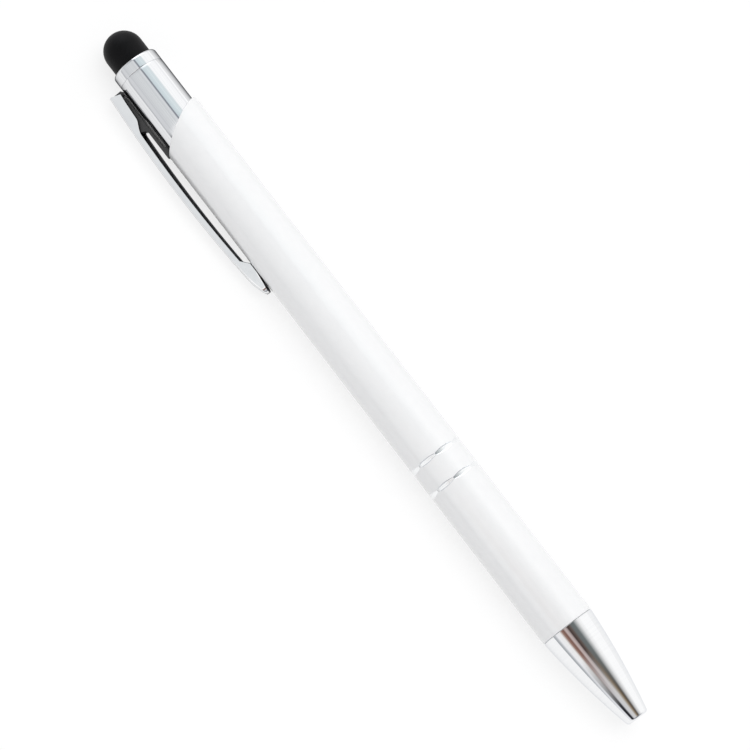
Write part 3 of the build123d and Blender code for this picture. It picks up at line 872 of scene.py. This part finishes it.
# Studio: an even sky for soft light, and the room's bright and dark bands for the metal to reflect
studioLook = {
    "sky": 0.64,
    "skyColour": (0.985, 0.99, 1.0, 1),
    "bands": (  # degrees from the camera's direction, + towards its right, with the brightness there
        (-78, (0.50, 0.51, 0.53)),
        (-64, (0.76, 0.77, 0.79)),
        (-12, (0.82, 0.84, 0.85)),
        (6, (0.80, 0.82, 0.84)),
        (10, (0.26, 0.28, 0.32)),
        (13, (0.30, 0.32, 0.36)),
        (18, (0.80, 0.90, 0.93)),
        (44, (0.84, 0.92, 0.94)),
        (52, (1.20, 1.20, 1.20)),
        (110, (1.20, 1.20, 1.20)),
    ),
    "domeBands": (  # the same, for the part of the room beyond the dome
        (-100, (0.55, 0.56, 0.58)),
        (-50, (0.75, 0.76, 0.78)),
        (5, (0.42, 0.43, 0.46)),
        (28, (2.4, 2.4, 2.5)),
        (70, (2.4, 2.4, 2.5)),
        (95, (0.70, 0.71, 0.73)),
    ),
    "ringBands": (  # for the part that the cut rings show
        (-74, (0.20, 0.20, 0.20)),
        (-66, (0.30, 0.30, 0.30)),
        (-58, (1.08, 1.08, 1.08)),
        (6, (1.08, 1.08, 1.08)),
        (12, (0.05, 0.05, 0.05)),
        (26, (0.12, 0.12, 0.12)),
        (46, (1.08, 1.08, 1.08)),
    ),
    "baseBands": (  # for the part that the nose shows at its seam
        (-78, (0.40, 0.42, 0.45)),
        (-67, (0.46, 0.48, 0.50)),
        (-57, (0.92, 0.92, 0.94)),
        (-40, (0.92, 0.91, 0.90)),
        (-31, (0.34, 0.22, 0.18)),
        (-22, (0.20, 0.10, 0.08)),
        (-15, (0.58, 0.48, 0.46)),
        (-8, (0.46, 0.38, 0.37)),
        (-2, (0.06, 0.04, 0.035)),
        (8, (0.13, 0.10, 0.09)),
        (14, (0.15, 0.16, 0.16)),
        (27, (0.16, 0.18, 0.18)),
        (48, (0.90, 0.90, 0.90)),
        (64, (1.08, 1.08, 1.08)),
    ),
    "tipBands": (  # and for the part that it shows near its mouth
        (-76, (0.70, 0.71, 0.74)),
        (-66, (0.92, 0.93, 0.96)),
        (-60, (0.84, 0.85, 0.88)),
        (-54, (0.02, 0.02, 0.025)),
        (-38, (0.03, 0.03, 0.035)),
        (-27, (0.66, 0.66, 0.68)),
        (-6, (0.68, 0.67, 0.66)),
        (7, (0.34, 0.28, 0.21)),
        (16, (0.15, 0.11, 0.07)),
        (25, (0.11, 0.10, 0.09)),
        (36, (0.58, 0.58, 0.58)),
        (60, (1.06, 1.06, 1.06)),
    ),
    "frontBands": (  # and for the room in front of the pen
        (-90, (0.62, 0.63, 0.66)),
        (-30, (0.30, 0.31, 0.34)),
        (40, (0.24, 0.25, 0.27)),
        (95, (0.70, 0.71, 0.73)),
    ),
    "domeFrom": (0.45, 0.80),  # how far the mirrored view leans to the rear, where each set takes over
    "ringFrom": (0.13, 0.11),
    "baseFrom": (0.075, 0.03),
    "tipFrom": (-0.20, -0.36),
    "frontFrom": (-0.60, -0.85),
    "sunTurn": 15.0,
    "sunSpread": 50.0,
    "sunPower": 1.28,
}


def fillRamp(tree, share, stops):
    # Stops are given in degrees from -180 to 180
    node = addNode(tree, "ShaderNodeValToRGB", {"Fac": share.outputs[0]})
    ramp = node.color_ramp
    while len(ramp.elements) < len(stops):
        ramp.elements.new(0.5)
    for element, (turn, colour) in zip(ramp.elements, stops):
        element.position = (turn + 180) / 360
        element.color = (*colour, 1)
    return node


def makeStudio(look):
    world = bpy.data.worlds.new("studio")
    bpy.context.scene.world = world
    world.use_nodes = True
    tree = world.node_tree
    tree.nodes.clear()
    place = addNode(tree, "ShaderNodeTexCoord").outputs["Generated"]
    parts = addNode(tree, "ShaderNodeSeparateXYZ", {0: place})
    right = addNode(tree, "ShaderNodeMath", {0: parts.outputs["Y"], 1: -1}, operation="MULTIPLY")
    turn = addNode(tree, "ShaderNodeMath", {0: right.outputs[0], 1: parts.outputs["Z"]}, operation="ARCTAN2")
    lean = atan2(cameraLook["spot"][1], cameraLook["spot"][2])
    share = addNode(tree, "ShaderNodeMapRange", {"Value": turn.outputs[0]},
                    From_Min=-pi - lean, From_Max=pi - lean)
    room = fillRamp(tree, share, look["bands"]).outputs[0]
    for bands, reach in (("domeBands", "domeFrom"), ("ringBands", "ringFrom"), ("baseBands", "baseFrom"),
                         ("tipBands", "tipFrom"), ("frontBands", "frontFrom")):
        beyond = addNode(tree, "ShaderNodeMapRange", {"Value": parts.outputs["X"]},
                         From_Min=look[reach][0], From_Max=look[reach][1])
        further = fillRamp(tree, share, look[bands]).outputs[0]
        mixed = addNode(tree, "ShaderNodeMix", {"Factor": beyond.outputs[0], "A": room, "B": further},
                        data_type="RGBA")
        room = mixed.outputs["Result"]
    rays = addNode(tree, "ShaderNodeLightPath").outputs
    sky = addNode(tree, "ShaderNodeBackground", Color=look["skyColour"], Strength=look["sky"]).outputs[0]
    reflected = addNode(tree, "ShaderNodeBackground", {"Color": room}, Strength=1.0).outputs[0]
    white = addNode(tree, "ShaderNodeBackground", Color=(1, 1, 1, 1), Strength=1.0).outputs[0]
    soft = addNode(tree, "ShaderNodeMixShader", {0: rays["Is Glossy Ray"], 1: sky, 2: reflected})
    seen = eitherOf(tree, rays["Is Camera Ray"], rays["Is Transmission Ray"])
    final = addNode(tree, "ShaderNodeMixShader", {0: seen, 1: soft.outputs[0], 2: white})
    addNode(tree, "ShaderNodeOutputWorld", {"Surface": final.outputs[0]})
    lamp = bpy.data.lights.new("softWindow", "SUN")
    lamp.energy = look["sunPower"]
    lamp.angle = radians(look["sunSpread"])
    holder = bpy.data.objects.new("softWindow", lamp)
    holder.rotation_euler = (radians(look["sunTurn"]), 0, 0)
    holder.visible_glossy = False  # the bands above are what the metal shows
    bpy.context.scene.collection.objects.link(holder)


makeStudio(studioLook)
bpy.context.scene.view_settings.view_transform = "Standard"
print("camera and studio set")
